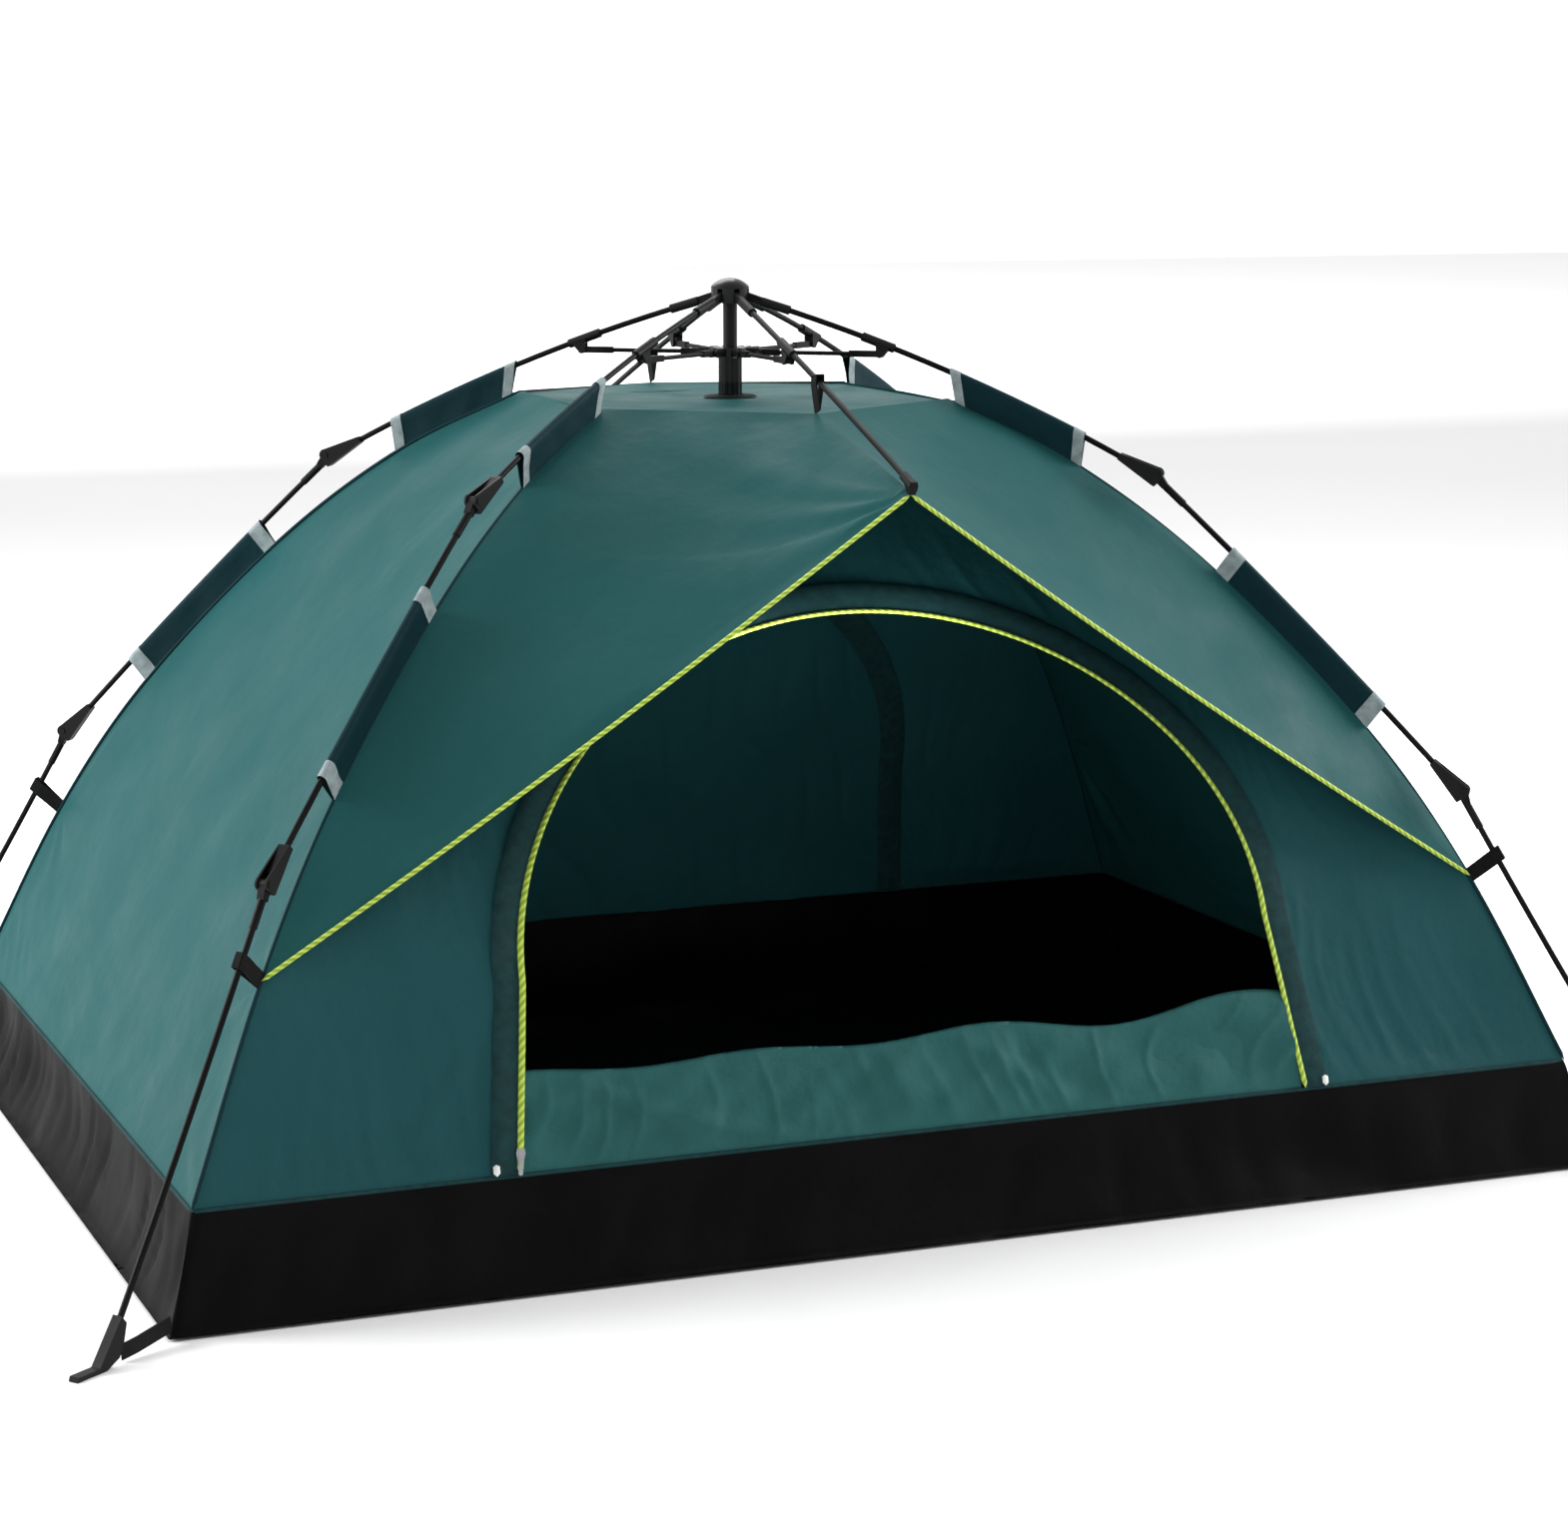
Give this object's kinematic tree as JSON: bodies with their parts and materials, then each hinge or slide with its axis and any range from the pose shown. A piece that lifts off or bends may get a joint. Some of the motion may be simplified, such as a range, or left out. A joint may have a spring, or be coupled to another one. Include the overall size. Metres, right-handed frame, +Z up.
{
  "type": "instant dome tent with folding pole frame",
  "caption": "Instant dome tent: an umbrella hub with jointed poles outside a hung canopy, arched door with zip, shading eaves and a raised waterproof floor.",
  "frame": {"origin": "centre of the floor on the ground", "axes": "+Z up along the shaft, the open door faces -Y, +X along the tent's length"},
  "size_m": [2.2724, 1.6654, 1.21],
  "materials": {
    "canopy_fabric": "coated polyester taffeta, dark green",
    "sleeve_fabric": "coated polyester, darker green",
    "floor_fabric": "black coated woven floor cloth",
    "webbing": "black ribbed webbing",
    "zip_tape": "lime yellow coil zip",
    "zip_metal": "plated slider",
    "pole_black": "satin black fibreglass",
    "shaft_paint": "black paint on steel tube",
    "hub_plastic": "moulded, glossy dark grey",
    "fitting_plastic": "moulded, satin black",
    "steel_pins": "plated pins"
  },
  "bodies": {
    "canopy_and_hub": {"crown_hub": "hub_plastic", "crown_pins": "steel_pins", "crown_cap": "hub_plastic", "shaft": "shaft_paint", "shaft_end_stop": "fitting_plastic", "bathtub_floor": "floor_fabric", "roof_panel": "canopy_fabric", "side_panel_left": "canopy_fabric", "side_panel_right": "canopy_fabric", "front_eave": "canopy_fabric", "rear_eave": "canopy_fabric", "front_wall": "canopy_fabric", "rear_wall": "canopy_fabric", "front_door": "canopy_fabric", "rear_door": "canopy_fabric", "door_zips": "zip_tape", "corner_sleeves": "sleeve_fabric", "frame_straps": "webbing"},
    "runner": {"runner_ring": "hub_plastic", "runner_sleeve": "hub_plastic"},
    "arm_front_left": {"arm_rod_front_left": "pole_black", "arm_fittings_front_left": "fitting_plastic", "upper_knee_front_left": "fitting_plastic"},
    "strut_front_left": {"strut_front_left": "fitting_plastic"},
    "middle_leg_front_left": {"middle_rod_front_left": "pole_black", "lower_knee_front_left": "fitting_plastic"},
    "lower_leg_front_left": {"lower_rod_front_left": "pole_black", "foot_front_left": "fitting_plastic"},
    "arm_front_right": {"arm_rod_front_right": "pole_black", "arm_fittings_front_right": "fitting_plastic", "upper_knee_front_right": "fitting_plastic"},
    "strut_front_right": {"strut_front_right": "fitting_plastic"},
    "middle_leg_front_right": {"middle_rod_front_right": "pole_black", "lower_knee_front_right": "fitting_plastic"},
    "lower_leg_front_right": {"lower_rod_front_right": "pole_black", "foot_front_right": "fitting_plastic"},
    "arm_rear_right": {"arm_rod_rear_right": "pole_black", "arm_fittings_rear_right": "fitting_plastic", "upper_knee_rear_right": "fitting_plastic"},
    "strut_rear_right": {"strut_rear_right": "fitting_plastic"},
    "middle_leg_rear_right": {"middle_rod_rear_right": "pole_black", "lower_knee_rear_right": "fitting_plastic"},
    "lower_leg_rear_right": {"lower_rod_rear_right": "pole_black", "foot_rear_right": "fitting_plastic"},
    "arm_rear_left": {"arm_rod_rear_left": "pole_black", "arm_fittings_rear_left": "fitting_plastic", "upper_knee_rear_left": "fitting_plastic"},
    "strut_rear_left": {"strut_rear_left": "fitting_plastic"},
    "middle_leg_rear_left": {"middle_rod_rear_left": "pole_black", "lower_knee_rear_left": "fitting_plastic"},
    "lower_leg_rear_left": {"lower_rod_rear_left": "pole_black", "foot_rear_left": "fitting_plastic"},
    "arm_front": {"arm_rod_front": "pole_black", "arm_fittings_front": "fitting_plastic"},
    "strut_front": {"strut_front": "fitting_plastic"},
    "arm_rear": {"arm_rod_rear": "pole_black", "arm_fittings_rear": "fitting_plastic"},
    "strut_rear": {"strut_rear": "fitting_plastic"},
    "front_zip_pull": {"front_zip_slider": "zip_metal"},
    "rear_zip_pull": {"rear_zip_slider": "zip_metal"}
  },
  "joints": [
    {"name": "fold_front_left", "type": "hinge", "parent": "canopy_and_hub", "child": "arm_front_left", "pos_m": [-0.01615, -0.0118, 1.186], "axis": [0.5899, -0.8075, 0], "range_deg": [0, 40], "deforming": ["bathtub_floor", "roof_panel", "side_panel_left", "side_panel_right", "front_eave", "rear_eave", "front_wall", "rear_wall", "front_door", "rear_door", "door_zips", "corner_sleeves", "frame_straps"]},
    {"name": "strut_swing_front_left", "type": "hinge", "parent": "arm_front_left", "child": "strut_front_left", "pos_m": [-0.17603, -0.1286, 1.106], "axis": [-0.5899, 0.8075, 0], "range_deg": [0, 103.6]},
    {"name": "upper_knee_front_left", "type": "hinge", "parent": "arm_front_left", "child": "middle_leg_front_left", "pos_m": [-0.49352, -0.36054, 0.94725], "axis": [-0.5899, 0.8075, 0], "range_deg": [0, 190.5]},
    {"name": "lower_knee_front_left", "type": "hinge", "parent": "middle_leg_front_left", "child": "lower_leg_front_left", "pos_m": [-0.84165, -0.61487, 0.52109], "axis": [-0.6052, 0.7958, -0.0202], "range_deg": [0, 189.5]},
    {"name": "fold_front_right", "type": "hinge", "parent": "canopy_and_hub", "child": "arm_front_right", "pos_m": [0.01615, -0.0118, 1.186], "axis": [0.5899, 0.8075, 0], "range_deg": [0, 40]},
    {"name": "strut_swing_front_right", "type": "hinge", "parent": "arm_front_right", "child": "strut_front_right", "pos_m": [0.17603, -0.1286, 1.106], "axis": [-0.5899, -0.8075, 0], "range_deg": [0, 103.6]},
    {"name": "upper_knee_front_right", "type": "hinge", "parent": "arm_front_right", "child": "middle_leg_front_right", "pos_m": [0.49352, -0.36054, 0.94725], "axis": [-0.5899, -0.8075, 0], "range_deg": [0, 190.5]},
    {"name": "lower_knee_front_right", "type": "hinge", "parent": "middle_leg_front_right", "child": "lower_leg_front_right", "pos_m": [0.84165, -0.61487, 0.52109], "axis": [-0.5741, -0.8185, -0.0202], "range_deg": [0, 189.5]},
    {"name": "fold_rear_right", "type": "hinge", "parent": "canopy_and_hub", "child": "arm_rear_right", "pos_m": [0.01615, 0.0118, 1.186], "axis": [-0.5899, 0.8075, 0], "range_deg": [0, 40]},
    {"name": "strut_swing_rear_right", "type": "hinge", "parent": "arm_rear_right", "child": "strut_rear_right", "pos_m": [0.17603, 0.1286, 1.106], "axis": [0.5899, -0.8075, 0], "range_deg": [0, 103.6]},
    {"name": "upper_knee_rear_right", "type": "hinge", "parent": "arm_rear_right", "child": "middle_leg_rear_right", "pos_m": [0.49352, 0.36054, 0.94725], "axis": [0.5899, -0.8075, 0], "range_deg": [0, 190.5]},
    {"name": "lower_knee_rear_right", "type": "hinge", "parent": "middle_leg_rear_right", "child": "lower_leg_rear_right", "pos_m": [0.84165, 0.61487, 0.52109], "axis": [0.6052, -0.7958, -0.0202], "range_deg": [0, 189.5]},
    {"name": "fold_rear_left", "type": "hinge", "parent": "canopy_and_hub", "child": "arm_rear_left", "pos_m": [-0.01615, 0.0118, 1.186], "axis": [-0.5899, -0.8075, 0], "range_deg": [0, 40]},
    {"name": "strut_swing_rear_left", "type": "hinge", "parent": "arm_rear_left", "child": "strut_rear_left", "pos_m": [-0.17603, 0.1286, 1.106], "axis": [0.5899, 0.8075, 0], "range_deg": [0, 103.6]},
    {"name": "upper_knee_rear_left", "type": "hinge", "parent": "arm_rear_left", "child": "middle_leg_rear_left", "pos_m": [-0.49352, 0.36054, 0.94725], "axis": [0.5899, 0.8075, 0], "range_deg": [0, 190.5]},
    {"name": "lower_knee_rear_left", "type": "hinge", "parent": "middle_leg_rear_left", "child": "lower_leg_rear_left", "pos_m": [-0.84165, 0.61487, 0.52109], "axis": [0.5741, 0.8185, -0.0202], "range_deg": [0, 189.5]},
    {"name": "fold_front", "type": "hinge", "parent": "canopy_and_hub", "child": "arm_front", "pos_m": [0, -0.02, 1.186], "axis": [1, 0, 0], "range_deg": [0, 40]},
    {"name": "strut_swing_front", "type": "hinge", "parent": "arm_front", "child": "strut_front", "pos_m": [0, -0.218, 1.106], "axis": [-1, 0, 0], "range_deg": [0, 103.6]},
    {"name": "fold_rear", "type": "hinge", "parent": "canopy_and_hub", "child": "arm_rear", "pos_m": [0, 0.02, 1.186], "axis": [-1, 0, 0], "range_deg": [0, 40]},
    {"name": "strut_swing_rear", "type": "hinge", "parent": "arm_rear", "child": "strut_rear", "pos_m": [0, 0.218, 1.106], "axis": [1, 0, 0], "range_deg": [0, 103.6]},
    {"name": "runner_slide", "type": "slide", "parent": "canopy_and_hub", "child": "runner", "axis": [0, 0, -1], "range_m": [0, 0.2662]},
    {"name": "front_zip_slide", "type": "slide", "parent": "canopy_and_hub", "child": "front_zip_pull", "axis": [0.1239, 0.3048, 0.9443], "range_m": [0, 0.2]},
    {"name": "rear_zip_slide", "type": "slide", "parent": "canopy_and_hub", "child": "rear_zip_pull", "axis": [-0.1239, -0.3048, 0.9443], "range_m": [0, 0.2]}
  ],
  "couplings": [
    {"joint": "strut_swing_front_left", "follows": "fold_front_left", "ratio": 2.59},
    {"joint": "upper_knee_front_left", "follows": "fold_front_left", "ratio": 4.7625},
    {"joint": "lower_knee_front_left", "follows": "fold_front_left", "ratio": 4.7375},
    {"joint": "fold_front_right", "follows": "fold_front_left", "ratio": 1},
    {"joint": "strut_swing_front_right", "follows": "fold_front_left", "ratio": 2.59},
    {"joint": "upper_knee_front_right", "follows": "fold_front_left", "ratio": 4.7625},
    {"joint": "lower_knee_front_right", "follows": "fold_front_left", "ratio": 4.7375},
    {"joint": "fold_rear_right", "follows": "fold_front_left", "ratio": 1},
    {"joint": "strut_swing_rear_right", "follows": "fold_front_left", "ratio": 2.59},
    {"joint": "upper_knee_rear_right", "follows": "fold_front_left", "ratio": 4.7625},
    {"joint": "lower_knee_rear_right", "follows": "fold_front_left", "ratio": 4.7375},
    {"joint": "fold_rear_left", "follows": "fold_front_left", "ratio": 1},
    {"joint": "strut_swing_rear_left", "follows": "fold_front_left", "ratio": 2.59},
    {"joint": "upper_knee_rear_left", "follows": "fold_front_left", "ratio": 4.7625},
    {"joint": "lower_knee_rear_left", "follows": "fold_front_left", "ratio": 4.7375},
    {"joint": "fold_front", "follows": "fold_front_left", "ratio": 1},
    {"joint": "strut_swing_front", "follows": "fold_front_left", "ratio": 2.59},
    {"joint": "fold_rear", "follows": "fold_front_left", "ratio": 1},
    {"joint": "strut_swing_rear", "follows": "fold_front_left", "ratio": 2.59},
    {"joint": "runner_slide", "follows": "fold_front_left", "m_per_rad": 0.38131}
  ]
}
